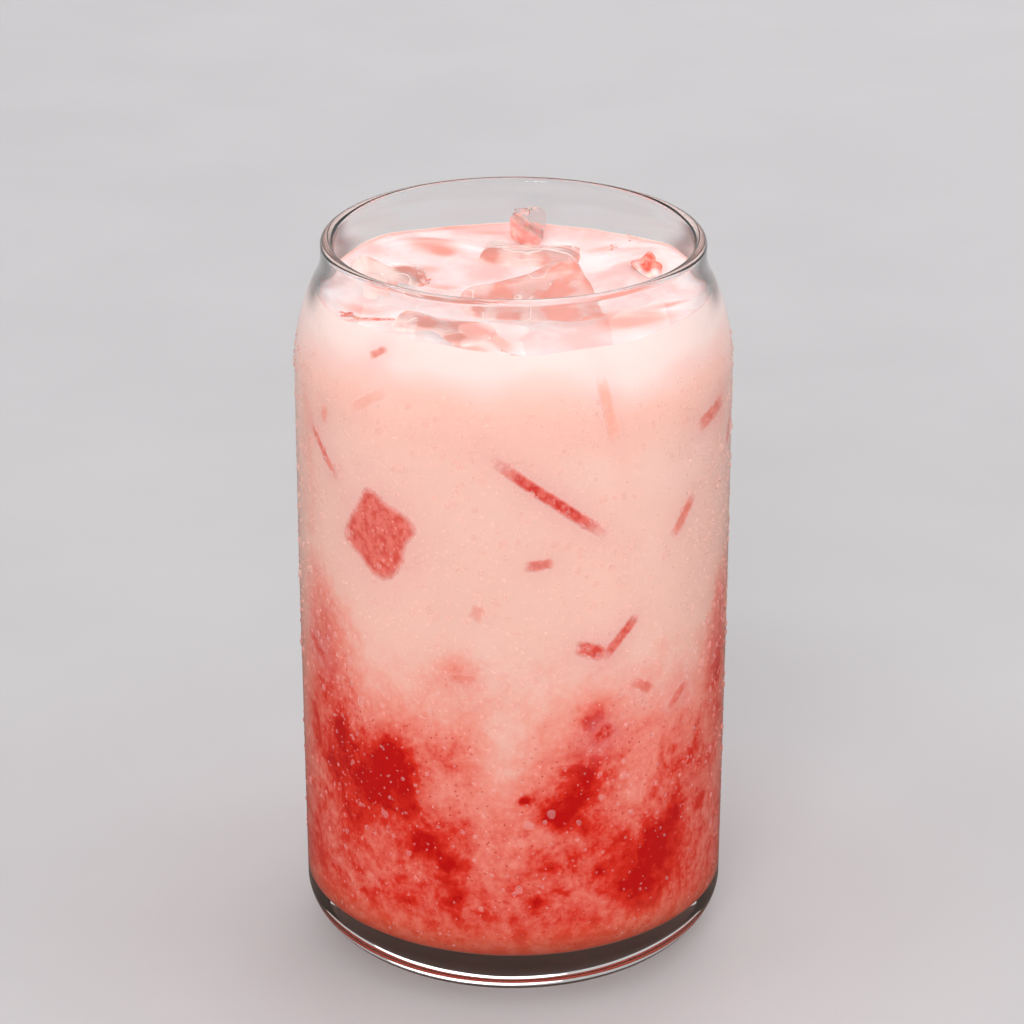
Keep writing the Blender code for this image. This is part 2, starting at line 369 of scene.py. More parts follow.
def lump_piece(name, spec, melt, rows, turns, shrink=0, dents=0, dent_length=5, seed=0):
    """Closed lump of a block, its skin pushed in and out along its own directions by a random field."""
    middle, size, tilt, squareness = spec
    poles = np.array([[[0, 0, 1]], [[0, 0, -1]]])
    ways = ball_directions(rows, turns)
    skins = [block(d, middle, size, tilt, squareness, melt, shrink) for d in (ways, poles)]
    for skin in skins:
        outward = skin - np.array(middle)
        outward /= np.linalg.norm(outward, axis=-1, keepdims=True)
        skin += outward * dents * np.minimum(waves(skin, dent_length, seed), 1)[..., None]
    return new_piece(name, skins[0], skins[1][0, 0], skins[1][1, 0])


def paint(red, green, blue):
    """Colour given as it looks on a screen, from 0 to 255, as the linear values that a shader takes."""
    seen = np.array([red, green, blue]) / 255
    linear = np.where(seen <= 0.04045, seen / 12.92, ((seen + 0.055) / 1.055) ** 2.4)
    return (*linear.tolist(), 1)


def ramp(material, value, stops, smooth=True):
    """Colours laid along a value from 0 to 1: each stop is a place and a colour."""
    made = node(material, "ValToRGB", {"Fac": value})
    ladder = material.node_tree.nodes[-1].color_ramp
    ladder.interpolation = "EASE" if smooth else "LINEAR"
    while len(ladder.elements) < len(stops):
        ladder.elements.new(0.5)
    for element, (at, colour) in zip(ladder.elements, stops):
        element.position = at
        element.color = colour
    return made["Color"]


def attribute(material, name):
    """A number stored at each point of the mesh."""
    return node(material, "Attribute", attribute_name=name)["Fac"]


def store(piece, name, values):
    """Stores a number at each point of the mesh."""
    made = piece.data.attributes.new(name, "FLOAT", "POINT")
    made.data.foreach_set("value", np.asarray(values, dtype=np.float32))


def points_of(piece):
    """The mesh's points in millimetres."""
    flat = np.empty(len(piece.data.vertices) * 3, dtype=np.float32)
    piece.data.vertices.foreach_get("co", flat)
    return flat.reshape(-1, 3).astype(float) / MM


def wet_ice():
    """Clear wet ice: fine ripples from melting, and a film of milk where the film value is high; the film's
    pale colour is also laid on the ripple ridges, partly as film edges and partly as painted glints, and
    round the edges seen edge on as a painted sheen.
    """
    material, place = new_material("wet_ice")
    ripples = noise(material, place, 4.5, roughness=0.4)
    cloud = noise(material, place, 5)
    from_line = scaled(material, noise(material, place, 8, detail=1.5), 1, -0.5)
    line = step(material, node(material, "Math", {0: from_line}, operation="ABSOLUTE")[0], 0.02, 0.004)
    line = scaled(material, line, step(material, cloud, 0.42, 0.56))
    wet = scaled(material, line, 1.3, ripples)
    bump = node(material, "Bump", {"Height": wet, "Distance": 0.35 * MM, "Strength": 0.45})[0]
    film_glint_and_sheen = scaled(material, cloud, 1, attribute(material, "film"))
    # The ridges are whitened partly as film edges and partly as painted glints.
    film_glint_and_sheen = scaled(material, line, 0.5, film_glint_and_sheen)
    # Painted sheen: the film's pale colour round the edges that are seen edge on.
    rim = step(material, node(material, "LayerWeight", {"Blend": 0.5})["Facing"], 0.62, 0.86)
    film_glint_and_sheen = scaled(material, rim, 0.55, film_glint_and_sheen)
    # The film share holds the milk film, the painted glints and the painted sheen.
    film = step(material, film_glint_and_sheen, 0.7, 1.5)
    clear_share = node(material, "MapRange", {"Value": film, "To Min": 0.52, "To Max": 0})[0]
    inner = ramp(material, cloud, [(0.42, paint(255, 178, 161)), (0.6, paint(255, 218, 209))])
    inputs = {
        "Base Color": blend_colours(material, film, inner, paint(250, 218, 210)),
        "Roughness": 0.03,
        "IOR": 1.31,
        "Transmission Weight": clear_share,
        "Normal": bump,
    }
    return finish_material(material, inputs, lets_light_through=True)


ICE_STUFF = wet_ice()
# Milk lies over part of each block: how much, the side it lies on, and how fast it thins across the block.
FILM = {
    "ice_middle": (0.05, (-0.9, 0.2, -0.4), 0.4),
    "ice_back": (0.25, (-1, 0, 0), 0.4),
    "ice_left": (0.25, (-1, 0, 0.3), 0.8),
    "ice_front_left": (0.1, (-0.45, -0.9, 0), 0.6),
}
for number, (name, spec) in enumerate(ICE.items()):
    dented = {"dents": 0.12, "dent_length": 7, "seed": 20 + number}
    ice = lump_piece("melting_" + name, spec, ICE_MELT, ICE_ROWS, ICE_TURNS, **dented)
    skin_points = points_of(ice)
    wetted = np.clip(1 - above_milk(skin_points) / 1.6, 0, 1)
    amount, side, slope = FILM[name]
    across = (skin_points - np.array(spec[0])) @ np.array(side) / (spec[1][0] / 2)
    film = amount + slope * across + 0.35 * wetted**2 + 0.12 * waves(skin_points, 9, 40 + number)
    store(ice, "film", film)
    ice.data.materials.append(ICE_STUFF)
    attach(ice, "root")
    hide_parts(name)


# The two chips on the surface: a splinter of ice with a wedge of fruit frozen to it at the back, and a
# piece of diced strawberry that stands out of the milk at the right.
CHIPS = {
    "ice_chip": ((2.8, 28.3, 126.3), (7, 4, 7), (-14, 8, 20), 3.2),
    "berry_chip": ((24, 6, 126.2), (4.6, 5.6, 3.2), (18, -24, 30), 3.2),
}
CHIP_ROWS = 40
CHIP_TURNS = 64


def wet_flesh():
    """Wet strawberry flesh, red with paler veins; part may be clear ice, and part under a film of milk."""
    material, place = new_material("wet_flesh")
    veins = noise(material, place, 1.6, detail=4, roughness=0.6)
    colour = ramp(material, veins, [(0.35, paint(232, 98, 82)), (0.68, paint(250, 178, 164))])
    clear = attribute(material, "clear")
    colour = blend_colours(material, clear, colour, paint(255, 250, 249))
    colour = blend_colours(material, attribute(material, "milk"), colour, paint(252, 228, 222))
    bump = node(material, "Bump", {"Height": veins, "Distance": 0.3 * MM, "Strength": 0.3})[0]
    inputs = {
        "Base Color": colour,
        "Roughness": 0.12,
        "IOR": 1.2,
        "Transmission Weight": clear,
        "Subsurface Weight": 0.6,
        "Subsurface Scale": 0.8 * MM,
        "Normal": bump,
    }
    return finish_material(material, inputs)


WET_FLESH = wet_flesh()
for name, spec in CHIPS.items():
    dented = {"dents": 0.2, "dent_length": 2.6, "seed": len(name)}
    chip = lump_piece("wet_" + name, spec, ICE_MELT, CHIP_ROWS, CHIP_TURNS, **dented)
    chip_points = points_of(chip)
    has_ice = name == "ice_chip"
    middle = np.array(spec[0])
    # The splinter is ice above and to the right, fruit in the lower left; milk laps round the foot of both.
    across = (chip_points - middle) @ np.array([0.6, 0, 0.8])
    store(chip, "clear", np.clip(0.62 + across / 1.1, 0, 0.96) if has_ice else np.zeros(len(chip_points)))
    lapped = above_milk(chip_points) + 0.5 * waves(chip_points, 3, 77)
    store(chip, "milk", np.clip(1 - lapped, 0.35 if has_ice else 0, 1))
    chip.data.materials.append(WET_FLESH)
    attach(chip, "root")
    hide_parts(name)


# The drink, milk poured over crushed strawberry: red pulp lies low and rises in plumes, the milk above is
# pale. Its top is uneven over the sunk ice, climbs the wall in a thin edge, and closes round every block.
REACH = 0.25  # the drink and the fruit in it reach this far into the glass, so that no air shows
DRINK_TURNS = 300
WALL_ROWS = 165
TOP_ROWS = 56
POCKET_ROWS = 36
POCKET_TURNS = 56
# Ice just below the top, which shows as salmon patches: middle, strength, half lengths, turn in degrees.
SUNK_ICE = [
    (20.5, -14, 1.3, 7, 6, 18),
    (27, -4.5, 0.7, 4.5, 1.8, 25),
    (-15, 20.5, 1, 5, 4.5, -20),
    (-12.5, 16, 0.7, 2.5, 1.6, 0),
    (16, 21.5, 0.8, 4.5, 2, 35),
    (9, 21.5, 0.6, 5, 1.8, 20),
    (-25.5, -10, 0.7, 5, 4, -40),
    (-13, 3.8, 0.8, 4.5, 1.8, 10),
    (-15.5, 10.5, 0.55, 4, 1.6, 10),
    (4.5, -10, 0.5, 9, 2, 5),
    (-4, 31.5, 0.6, 8, 1.2, 0),
    (-7, -30.6, 0.9, 3, 2.2, 5),
    (4, -25, 0.35, 17, 6, 0),
    (-24, -16.5, 0.8, 6, 1.8, 12),
    (-12, -14.5, 0.8, 6.5, 2.2, -25),
    (-3.5, -24, 0.8, 5.5, 1.8, -62),
]
# How much crushed fruit has settled at each height.
SETTLED_HEIGHTS = [9, 18, 25, 33, 40, 48, 56, 63, 71, 78]
SETTLED = [0.62, 0.63, 0.58, 0.5, 0.44, 0.36, 0.27, 0.14, 0.05, 0]
# Plumes and clots of crushed fruit at the wall: azimuth, height, half width, half length, turn, amount.
PUREE = [
    (-60, 62, 7, 12, 8, 0.42),
    (-50, 46, 9, 9, 20, 0.3),
    (-34, 47, 5.5, 6.5, 28, 0.42),
    (-18, 50, 4, 4.5, 40, 0.25),
    (75, 60, 6, 16, 8, 0.4),
    (45, 44, 8, 7, 40, 0.12),
    (22, 49, 6, 8, 30, 0.34),
    (22.5, 56.5, 3.2, 3.5, 0, 0.4),
    (24, 36, 6, 6, 0, 0.14),
    (-29.5, 39.5, 3.5, 7.5, 0, 0.4),
    (-15.8, 34.7, 4, 4, 0, 0.2),
    (-16, 66, 5, 3.5, 0, 0.22),
    (-70, 96, 6, 26, 0, 0.14),
    (-66, 70, 5, 9, 0, 0.2),
    (71, 108, 5, 8, 0, 0.14),
    (72, 66, 6, 9, 0, 0.12),
    (57, 40, 8, 14, 0, 0.12),
    (-50, 35, 9, 7, 0, 0.2),
    (-3, 50, 4, 9, 0, -0.2),
    (33, 40, 4, 4, 0, -0.08),
    (-5, 29, 5, 5, 0, -0.08),
    (-36, 45.5, 3.4, 5, 30, 0.3),
    (-41, 38.5, 4, 4, 10, 0.4),
    (-54, 47.5, 1.9, 4.5, -12, 0.4),
    (-59, 41.5, 2.2, 3.5, -20, 0.3),
    (-69, 44, 2.5, 5, -15, 0.3),
    (-48.5, 41.5, 3, 3.2, 0, 0.2),
    (-24.5, 31.4, 3.4, 2.2, -10, 0.42),
    (-18.5, 28.4, 2.4, 2.8, -35, 0.4),
    (-16, 22.6, 1.8, 2.6, -30, 0.22),
    (-31, 19, 2.2, 1.8, 0, 0.16),
    (17, 42, 3.2, 5.2, 28, 0.42),
    (12, 37.8, 4.4, 2.2, 25, 0.5),
    (2.9, 41.8, 1.1, 0.9, 0, 0.6),
    (10.3, 28.2, 1.8, 1.2, 30, 0.3),
    (6, 21.2, 1.2, 1.2, -30, 0.45),
    (43, 28, 6.5, 4.4, 30, 0.42),
    (36, 22.5, 5.6, 4.4, 25, 0.42),
    (50, 33, 2.6, 3.6, 30, 0.4),
    (24, 26, 1.8, 1.1, 30, 0.2),
]
SPREAD_BEHIND = 16


def spots_behind(seed, low, high, smallest, largest, strength):
    """Plumes or clots for the back half, spread evenly round it and unevenly in height by a seeded draw."""
    draw = np.random.default_rng(seed)
    count = SPREAD_BEHIND
    azimuth = 95 + 170 * (np.arange(count) + draw.uniform(0, 1, count)) / count
    height = draw.uniform(low, high, count)
    half_width = draw.uniform(smallest, largest, count)
    half_length = half_width * draw.uniform(0.8, 1.7, count)
    turn = draw.uniform(-50, 50, count)
    weight = strength * draw.uniform(0.6, 1.1, count)
    return np.stack([azimuth, height, half_width, half_length, turn, weight], axis=-1)


def wall_spots(azimuth, height, spots):
    """Strength of spots on the wall, added up; each falls off quickly past its half width and length."""
    total = np.zeros_like(azimuth)
    for middle, level, half_width, half_length, turn, strength in spots:
        across = ((azimuth - middle + 180) % 360 - 180) * np.pi / 180 * BODY_RADIUS
        up = height - level
        cos, sin = cos_sin(turn)
        side, along = across * cos - up * sin, across * sin + up * cos
        total += strength * np.exp(-((side / half_width) ** 2 + (along / half_length) ** 2))
    return total


def crushed_fruit(azimuth, height):
    """How much crushed fruit is at the wall: what has settled, and the plumes and clots all round."""
    behind = [spots_behind(5, 40, 64, 5, 9, 0.32), spots_behind(6, 18, 52, 1.6, 5, 0.45)]
    settled = np.interp(height, SETTLED_HEIGHTS, SETTLED)
    return settled + wall_spots(azimuth, height, np.concatenate([PUREE, *behind]))


def drink_rings():
    """Rings of the drink's skin: over the floor and its corner, up the wall to its uneven edge, and in."""
    angle = once_round(DRINK_TURNS)
    floor_radius = inner_wall(CORNER_TOP) - CORNER_WIDTH
    floor = np.linspace(0, 1, 12)[1:, None]
    corner = np.linspace(0, np.pi / 2, 14)[1:, None]
    radius = np.concatenate([
        floor_radius * floor,
        floor_radius + (CORNER_WIDTH + REACH) * np.sin(corner),
    ])
    fall = CORNER_TOP - FLOOR_EDGE + REACH
    height = np.concatenate([
        FLOOR_MIDDLE - REACH + (FLOOR_EDGE - FLOOR_MIDDLE) * floor**2,
        CORNER_TOP - fall * np.cos(corner),
    ])
    edge = inner_wall(np.array(LEVEL))
    edge_height = milk_top(edge * np.cos(angle), edge * np.sin(angle))
    share = np.linspace(0, 1, WALL_ROWS)[1:, None]
    wall_height = CORNER_TOP + share * (edge_height - CORNER_TOP)
    wall_radius = inner_wall(wall_height) + REACH
    inward = (1 - np.linspace(0, 1, TOP_ROWS)[1:-1, None] ** 1.25) * wall_radius[-1]
    top_height = milk_top(inward * np.cos(angle), inward * np.sin(angle))
    radii = np.concatenate([radius + 0 * angle, wall_radius, inward])
    heights = np.concatenate([height + 0 * angle, wall_height, top_height])
    return np.stack([radii * np.cos(angle), radii * np.sin(angle), heights], axis=-1)


def cut_pockets(piece, specs):
    """Cuts the floating pieces out of the drink and gives it the cut mesh."""
    melt_and_grid = (ICE_MELT, POCKET_ROWS, POCKET_TURNS, POCKET_SHARE)
    cutters = [lump_piece(f"pocket_{i}", spec, *melt_and_grid) for i, spec in enumerate(specs)]
    for cutter in cutters:
        pocket = piece.modifiers.new(cutter.name, "BOOLEAN")
        pocket.object = cutter
        pocket.operation = "DIFFERENCE"
    shown = piece.evaluated_get(bpy.context.evaluated_depsgraph_get())
    mesh = bpy.data.meshes.new_from_object(shown)
    piece.modifiers.clear()
    piece.data = mesh
    for cutter in cutters:
        bpy.data.objects.remove(cutter)
    mesh.shade_smooth()
    mesh.set_sharp_from_angle(angle=np.radians(50))


MIRRORED = 0.012  # of the room, by the outside of the wall
LET_THROUGH = 0.87  # of the light, by the wall
KEPT_IN = 0.243  # of what a thing behind the wall throws back


def behind_wall(red, green, blue):
    """Paint for a thing pressed on the wall that is to look like this from outside.

    The seen colour is mirrored + let through * own / (1 - kept in * own), solved here for the own colour.
    """
    seen = np.maximum(np.array(paint(red, green, blue)[:3]) - MIRRORED, 0) / LET_THROUGH
    return (*(seen / (1 + KEPT_IN * seen)).tolist(), 1)


def wall_ramp(material, value, stops, smooth=True):
    """Ramp whose stops are a place and the red, green and blue that show from outside the wall."""
    return ramp(material, value, [(at, behind_wall(*seen)) for at, *seen in stops], smooth)


def milk_colour(material, place):
    """Pink milk, nearly white under the surface and pinker further down, with slow clouds of colour."""
    height = node(material, "SeparateXYZ", {0: place})["Z"]
    slow = noise(material, place, 22)
    shifted = scaled(material, slow, 16, height)
    level = node(material, "MapRange", {"Value": shifted, "From Min": 8, "From Max": 136})["Result"]
    colours = [
        (0, 242, 186, 170),
        (0.5, 243, 193, 178),
        (0.8, 245, 196, 182),
        (0.895, 250, 192, 176),
        (0.93, 251, 206, 196),
        (0.955, 252, 223, 216),
    ]
    pink = wall_ramp(material, level, colours, smooth=False)
    swirl = step(material, noise(material, place, 16, detail=3, roughness=0.55), 0.5, 0.72)
    pale_share = scaled(material, swirl, 0.45)
    return blend_colours(material, pale_share, pink, behind_wall(246, 206, 194))


def drink_colour(material, place):
    """Milk and pulp as the wall shows them: the more crushed fruit, the redder and darker."""
    stirred = {"Vector": place, "Scale": 0.13, "Detail": 6, "Roughness": 0.64, "Distortion": 0.9}
    cloud = node(material, "TexNoise", stirred)[0]
    grain = noise(material, place, 1.4, detail=4, roughness=0.65)
    fruit = attribute(material, "puree")
    gain = node(material, "MapRange", {"Value": fruit, "From Max": 0.5, "To Min": 0.15, "To Max": 0.78})[0]
    cloud_off = scaled(material, cloud, 1, -0.5)
    swirled = scaled(material, cloud_off, gain, fruit)
    grain_off = scaled(material, grain, 1, -0.5)
    fine_gain = scaled(material, gain, 0.65)
    fine = scaled(material, grain_off, fine_gain, swirled)
    lumps = step(material, noise(material, place, 3), 0.46, 0.68)
    lump_gain = step(material, swirled, 0.2, 0.9)
    lump = scaled(material, lumps, lump_gain)
    level = scaled(material, lump, 0.18, fine)
    height = node(material, "SeparateXYZ", {0: place})["Z"]
    pulp = wall_ramp(material, level, [
        (0.1, 243, 180, 164),
        (0.38, 240, 138, 122),
        (0.58, 228, 100, 86),
        (0.74, 216, 56, 44),
        (0.88, 201, 41, 33),
        (1, 183, 25, 18),
    ], smooth=False)
    low_band = step(material, height, 19, 9.5)
    band_share = scaled(material, low_band, 0.6)
    pulp = blend_colours(material, band_share, pulp, behind_wall(232, 106, 80))
    colour = blend_colours(material, step(material, level, 0.02, 0.2), milk_colour(material, place), pulp)
    # The underside, which shows only through the thick base, lies in its own shade.
    underside = step(material, height, 9.9, 9.2)
    colour = blend_colours(material, underside, colour, paint(150, 118, 108))
    speck = node(material, "TexVoronoi", {"Vector": place, "Scale": 0.75})["Distance"]
    speck_share = step(material, speck, 0.2, 0.08)
    where = step(material, fruit, 0.1, 0.5)
    speck_share = scaled(material, speck_share, where)
    colour = blend_colours(material, speck_share, colour, behind_wall(196, 62, 52))
    # Painted shadow round the diced fruit turns the milk violet pink.
    halo = scaled(material, attribute(material, "halo"), 0.5)
    return blend_colours(material, halo, colour, behind_wall(228, 158, 156))


def drink_at_wall():
    """Matt, because the wet face of the drink lies against the glass and mirrors nothing."""
    material, place = new_material("milk_and_pulp")
    inputs = {"Base Color": drink_colour(material, place), "Roughness": 0.5, "Specular IOR Level": 0.05}
    return finish_material(material, inputs)


def drink_on_top():
    """Open milk: glossy, nearly white, salmon where ice lies close below and in the pockets round it."""
    material, place = new_material("open_milk")
    cloud = noise(material, place, 9, detail=4, roughness=0.55)
    milk = ramp(material, cloud, [(0.36, paint(245, 196, 191)), (0.62, paint(250, 224, 222))])
    thin = scaled(material, cloud, 0.6, attribute(material, "salmon"))
    salmon = step(material, thin, 0.5, 1.15)
    inputs = {
        "Base Color": blend_colours(material, salmon, milk, paint(246, 158, 143)),
        "Roughness": 0.25,
        "Specular IOR Level": 0.22,
        "Subsurface Weight": 0.8,
        "Subsurface Scale": 2.2 * MM,
        "Subsurface Radius": (1, 0.5, 0.4),
    }
    return finish_material(material, inputs)


top_middle = milk_top(*np.zeros((2, 1)))[0]
drink = new_piece("strawberry_milk", drink_rings(), (0, 0, FLOOR_MIDDLE - REACH), (0, 0, top_middle))
cut_pockets(drink, list(ICE.values()) + list(CHIPS.values()))
spots = points_of(drink)
azimuth = np.degrees(np.arctan2(spots[:, 0], -spots[:, 1]))
store(drink, "puree", crushed_fruit(azimuth, spots[:, 2]))
# Salmon shows over sunk ice, down in the pockets, and in the thin edge at the wall.
sunk = np.clip((-above_milk(spots) - 0.25) / 1.5, 0, 1)
to_wall = inner_wall(spots[:, 2]) - np.hypot(spots[:, 0], spots[:, 1])
at_wall = np.clip(1 - to_wall / 1.3, 0, 1)
store(drink, "salmon", hills(spots[:, 0], spots[:, 1], SUNK_ICE) + 0.35 * sunk + 0.5 * at_wall)
drink.data.materials.append(drink_at_wall())
drink.data.materials.append(drink_on_top())
# The faces off the wall and above the floor are open milk.
middles = np.empty(len(drink.data.polygons) * 3, dtype=np.float32)
drink.data.polygons.foreach_get("center", middles)
middles = middles.reshape(-1, 3) / MM
inside = np.hypot(middles[:, 0], middles[:, 1]) < inner_wall(middles[:, 2]) + REACH * 0.6
drink.data.polygons.foreach_set("material_index", (inside & (middles[:, 2] > 100)).astype(np.int32))
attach(drink, "root")
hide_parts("drink")


# The diced strawberry that the milk carries against the inside of the wall: cut faces pressed flat on the
# glass, under a veil of milk that thickens to their edges. The front is as seen, the back is drawn by lot.
PRESS_PROUD = 0.03
# Azimuth from the front, height, half width, half length, turn, how hard it presses, redness.
DICED = [
    (-38.4, 89.8, 7, 7.7, 28, 1.1, 0.85),
    (-40, 122.4, 0.8, 2.2, 60, 0.6, 0.5),
    (10.2, 99.1, 1.35, 12.6, 128, 0.9, 1),
    (6.9, 87.3, 1.2, 2.8, 82, 0.5, 0.9),
    (-9.5, 78.3, 1.4, 1.8, 20, 0.22, 0.5),
    (21, 70, 1.7, 3.4, 112, 0.9, 0.9),
    (29.8, 71.8, 1.25, 5.2, 44, 0.7, 0.9),
    (-60.3, 101.1, 0.95, 6.2, 131, 0.7, 0.7),
    (-59.2, 108.3, 1.2, 1.9, 12, 0.6, 0.2),
    (-41.8, 114, 1.2, 5.4, 57, 0.22, 0.15),
    (25.6, 114.4, 1.35, 6.4, -12, 0.5, 0),
    (64.5, 107.2, 1.8, 5.6, 77, 0.9, 0.6),
    (80, 100.6, 1.4, 3.6, 25, 0.7, 0.6),
    (51, 90.8, 1.4, 4.6, 41, 0.6, 0.65),
    (-62.5, 67.8, 2.4, 3.6, 10, 0.5, 0.7),
    (-66, 61.5, 1.3, 5, 113, 0.8, 0.95),
    (-13.3, 65.3, 0.9, 2.8, 86, 0.3, 0.6),
    (37, 60.9, 1.2, 2.7, 126, 0.5, 0.8),
    (49.9, 56.2, 1.1, 3.4, 49, 0.7, 0.8),
    (74, 66, 1.4, 8, 20, 0.7, 0.7),
    (24.6, 53.4, 1.8, 2.8, 58, 0.9, 1),
]
DICED_BEHIND = 22
DICE_DEPTH = 2.2
DICE_ROWS = 26
DICE_TURNS = 56
SHADOW_HALO = 1.8  # painted shadow that a piece casts in the milk reaches this far round it


def diced_behind():
    """Diced pieces for the half that the photo doesn't show: like the front's, set out by a seeded draw."""
    draw = np.random.default_rng(11)
    count = DICED_BEHIND
    azimuth = 92 + 176 * (np.arange(count) + draw.uniform(0.1, 0.9, count)) / count
    height = 56 + 60 * ((np.arange(count) * 0.618) % 1) + draw.uniform(-3, 3, count)
    half_width = draw.choice([0.9, 1.2, 1.5, 3.8], count, p=[0.35, 0.3, 0.25, 0.1])
    half_length = half_width * draw.uniform(1.3, 4.2, count) + 0.8
    turn = draw.uniform(0, 180, count)
    press = draw.uniform(0.25, 1, count)
    redness = draw.uniform(0.3, 0.95, count)
    return np.stack([azimuth, height, half_width, half_length, turn, press, redness], axis=-1).tolist()


def on_wall(across, up, outward, azimuth, height):
    """Flat piece laid on the inside of the wall: across goes round it, up along Z, outward through it."""
    angle = np.radians(azimuth) + across / inner_wall(height)
    z = height + up
    radius = inner_wall(z) + REACH + outward
    return np.stack([radius * np.sin(angle), -radius * np.cos(angle), z], axis=-1)


def diced_piece(name, number, spec):
    """Piece of fruit pressed on the wall, seen from the wall as a superellipse with slightly uneven edges.

    Its face lies PRESS_PROUD beyond the milk and bends under it near the edge with the sixth power of the
    distance from its middle; behind, it swells to DICE_DEPTH with the square root of one less that squared.
    """
    azimuth, height, half_width, half_length, turn, press, redness = spec
    tilt = np.linspace(0, np.pi, DICE_ROWS + 2)[:, None]
    angle = once_round(DICE_TURNS)[None, :]
    share = np.sin(tilt) ** 0.7
    edge = np.stack([np.cos(angle), np.sin(angle)], axis=-1)
    edge = on_block(edge, 5) * [half_width, half_length]
    edge *= 1 + 0.04 * waves(edge, 9, 300 + number)[..., None]
    from_middle = edge / np.linalg.norm(edge, axis=-1, keepdims=True)
    edge += 0.12 * waves(edge, 1.7, 500 + number)[..., None] * from_middle
    side, along = np.moveaxis(share[..., None] * edge, -1, 0)
    face = PRESS_PROUD * (1 - (share / 0.93) ** 6)
    back = face - DICE_DEPTH * np.sqrt(1 - share**2)
    outward = np.where(tilt < np.pi / 2, face, back) + 0 * angle
    cos, sin = cos_sin(turn)
    across, up = side * cos + along * sin, along * cos - side * sin
    skin = on_wall(across, up, outward, azimuth, height)
    piece = new_piece(name, skin[1:-1], skin[0, 0], skin[-1, 0])
    softness = np.clip(0.75 * half_width, 0.5, 2.6)  # the veil clears over this much from the edge
    share_shown = np.concatenate([(1 - share[1:-1] + 0 * angle).ravel(), [1, 0]])
    store(piece, "shown", np.clip(share_shown * half_width / softness, 0, 1))
    store(piece, "redness", np.full(len(share_shown), redness))
    store(piece, "strength", np.full(len(share_shown), min(1, 0.25 + press)))
    return piece


def joined(pieces, name):
    """Several mesh pieces made one of this name."""
    whole = pieces[0]
    with bpy.context.temp_override(active_object=whole, selected_editable_objects=pieces):
        bpy.ops.object.join()
    whole.name = whole.data.name = name
    return whole


def veiled_flesh():
    """Fruit behind the wall: flesh with darker cells where it touches the glass, milk at its edges."""
    material, place = new_material("veiled_flesh")
    cells = noise(material, place, 1.5, detail=3, roughness=0.6)
    deep = wall_ramp(material, cells, [(0.36, 204, 54, 46), (0.62, 226, 100, 90)])
    orange = wall_ramp(material, cells, [(0.3, 248, 160, 136), (0.7, 250, 180, 160)])
    fruit = blend_colours(material, attribute(material, "redness"), orange, deep)
    edge = noise(material, place, 0.9, detail=4, roughness=0.6)
    ragged = scaled(material, edge, 0.4, attribute(material, "shown"))
    shown = step(material, ragged, 0.17, 0.95)
    strength = scaled(material, shown, attribute(material, "strength"))
    colour = blend_colours(material, strength, drink_colour(material, place), fruit)
    inputs = {"Base Color": colour, "Roughness": 0.5, "Specular IOR Level": 0.05}
    return finish_material(material, inputs)


all_diced = DICED + diced_behind()
dice = [diced_piece(f"dice_{i}", i, spec) for i, spec in enumerate(all_diced)]
fruit = joined(dice, "diced_strawberry")
fruit_spots = points_of(fruit)
around = np.degrees(np.arctan2(fruit_spots[:, 0], -fruit_spots[:, 1]))
store(fruit, "puree", crushed_fruit(around, fruit_spots[:, 2]))
# Painted shadow round each diced piece: its spot, widened all round.
shadow_halos = [(d[0], d[1], d[2] + SHADOW_HALO, d[3] + SHADOW_HALO, d[4], min(1, d[5])) for d in all_diced]
store(drink, "halo", np.clip(wall_spots(azimuth, spots[:, 2], shadow_halos), 0, 1))
store(fruit, "halo", np.clip(wall_spots(around, fruit_spots[:, 2], shadow_halos), 0, 1))
fruit.data.materials.append(veiled_flesh())
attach(fruit, "root")


# Flecks of crushed fruit that float in the milk's skin: strings of crumbs along the edge of the front ice,
# a thin line ahead of it and a few strays.
# Each string: points that it runs through, number of crumbs, how far they stray, their size.
STRINGS = [
    ([(-29, -13.5), (-26, -16), (-22.5, -15.8), (-19.7, -15.2)], 60, 0.5, 0.75),
    ([(-2, -29), (0.2, -31), (1.9, -31.9)], 16, 0.15, 0.4),
    ([(-16, 3), (-15, 6), (-17, 8.5)], 10, 0.4, 0.5),
    ([(17, 20), (21, 27)], 8, 0.8, 0.45),
]


def string_of_crumbs(line, count, stray, size, draw):
    """Flattened crumbs strewn along a line, each half sunk in the milk's skin."""
    line = np.array(line)
    along = draw.uniform(0, len(line) - 1, count)
    middles = np.stack([np.interp(along, np.arange(len(line)), line[:, axis]) for axis in (0, 1)], axis=-1)
    middles += stray * draw.normal(size=(count, 2))
    heights = milk_top(middles[:, 0], middles[:, 1]) + 0.02
    crumbs = []
    for (x, y), z in zip(middles, heights):
        half = size * draw.uniform(0.6, 1.4, 3) * [1, 0.7, 0.5]
        spec = ((x, y, z), half, draw.uniform(-20, 20, 3), 2.4)
        crumbs.append(lump_piece("crumb", spec, melt=0, rows=6, turns=10))
    return crumbs


crumb_draw = np.random.default_rng(31)
crumbs = [crumb for string in STRINGS for crumb in string_of_crumbs(*string, crumb_draw)]
flecks = joined(crumbs, "fruit_flecks")
flecks.data.materials.append(WET_FLESH)
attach(flecks, "root")


# Bubbles on the milk: a broad flat one in front, of which only the thick wet edge shows, and small ones,
# low domes of wet film sunk a little in the milk, that have drifted to the wall or lie where they rose.
BROAD_BUBBLE = (-7, -30.6, 3.3, 2.3, 0.3)  # middle, half width, half depth, half thickness of its edge
SMALL_BUBBLES = 46
EDGE_STEPS, EDGE_SIDES = 64, 12


